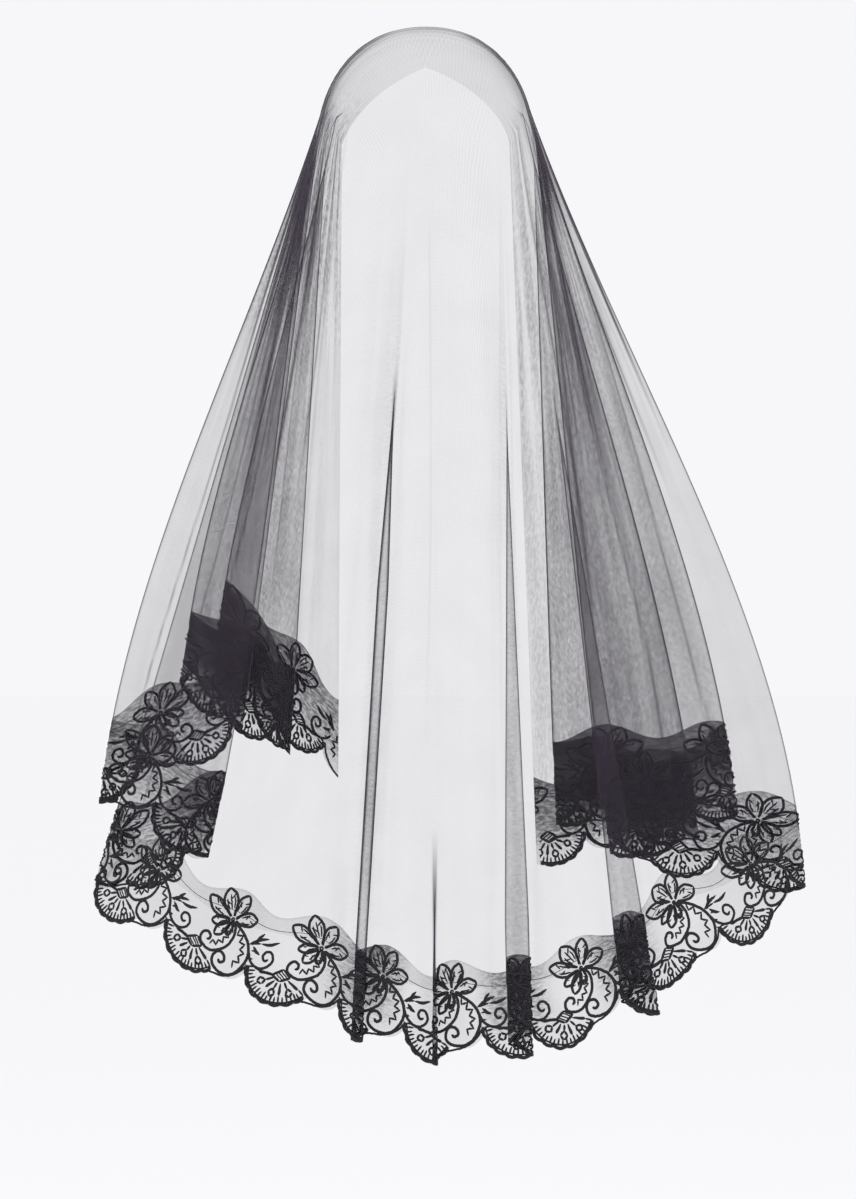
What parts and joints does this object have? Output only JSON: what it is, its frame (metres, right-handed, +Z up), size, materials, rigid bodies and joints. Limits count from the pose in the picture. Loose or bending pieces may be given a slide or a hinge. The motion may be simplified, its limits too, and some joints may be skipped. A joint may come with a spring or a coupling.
{
  "type": "lace veil",
  "caption": "Black tulle veil draped from the crown of a head, with a scalloped floral lace edging along its curved hem and two lappets in front.",
  "frame": {"origin": "underside of the cloth at the top of the crown, where it sits on a head", "axes": "+Z up, +Y the way the wearer faces, +X to the wearer's right when seen from behind"},
  "size_m": [0.6132, 0.3008, 0.8862],
  "materials": {
    "tulle": "fine matt net",
    "lace": "embroidered satin thread on net"
  },
  "bodies": {
    "root": {"veil_net": "tulle", "lace_edging": "lace"}
  },
  "joints": []
}
